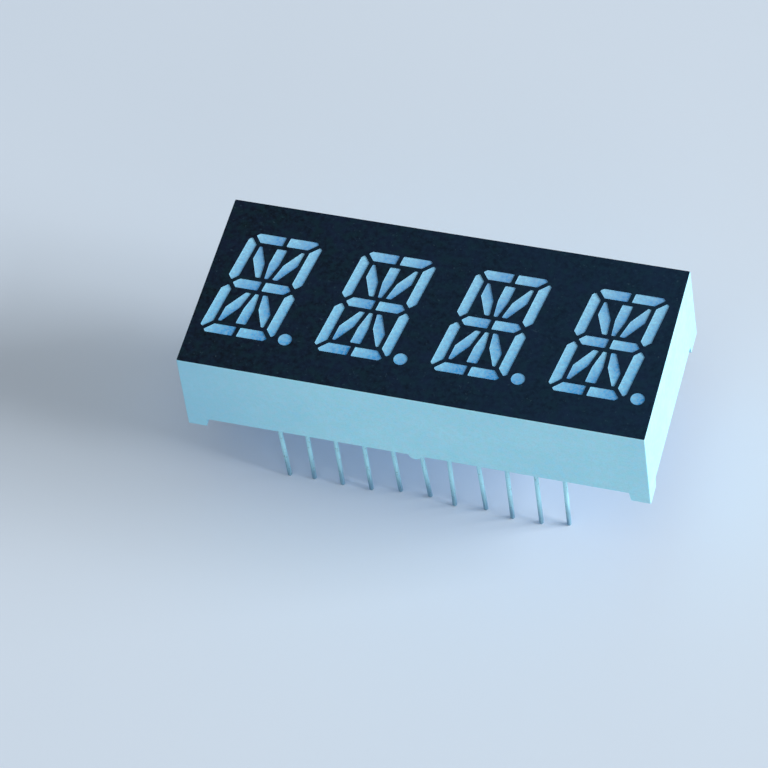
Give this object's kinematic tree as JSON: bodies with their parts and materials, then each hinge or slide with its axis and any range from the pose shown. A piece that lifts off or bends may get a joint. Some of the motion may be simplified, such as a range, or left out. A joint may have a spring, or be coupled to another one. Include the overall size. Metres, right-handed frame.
{
  "type": "sixteen-segment led display",
  "caption": "Row of slanted sixteen-segment LED digits with decimal points in a white reflector housing with a dark face, on two rows of solder pins.",
  "frame": {"origin": "middle of the plane of the pin tips, under the middle of the housing", "axes": "+X along the row of digits as it is read, +Y to the tops of the digits, +Z out of the face"},
  "size_m": [0.041, 0.018, 0.0172],
  "materials": {
    "housing_plastic": "moulded, satin",
    "face_ink": "matte printed coat",
    "milky_resin": "cast, milky, soft sheen",
    "board_laminate": "glass-epoxy laminate",
    "solder": "tin solder, satin",
    "led_chip": "semiconductor die",
    "gold_wire": "drawn gold wire",
    "tinned_pin": "tinned, dulled towards the tips"
  },
  "bodies": {
    "root": {"reflector_housing": "housing_plastic", "face_coat": "face_ink", "resin_casting": "milky_resin", "circuit_board": "board_laminate", "solder_joints": "solder", "led_chips_digit_1": "led_chip", "led_chips_digit_2": "led_chip", "led_chips_digit_3": "led_chip", "led_chips_digit_4": "led_chip", "bond_wires_digit_1": "gold_wire", "bond_wires_digit_2": "gold_wire", "bond_wires_digit_3": "gold_wire", "bond_wires_digit_4": "gold_wire", "pin_01": "tinned_pin", "pin_02": "tinned_pin", "pin_03": "tinned_pin", "pin_04": "tinned_pin", "pin_05": "tinned_pin", "pin_06": "tinned_pin", "pin_07": "tinned_pin", "pin_08": "tinned_pin", "pin_09": "tinned_pin", "pin_10": "tinned_pin", "pin_11": "tinned_pin", "pin_12": "tinned_pin", "pin_13": "tinned_pin", "pin_14": "tinned_pin", "pin_15": "tinned_pin", "pin_16": "tinned_pin", "pin_17": "tinned_pin", "pin_18": "tinned_pin", "pin_19": "tinned_pin", "pin_20": "tinned_pin", "pin_21": "tinned_pin", "pin_22": "tinned_pin"}
  },
  "joints": []
}
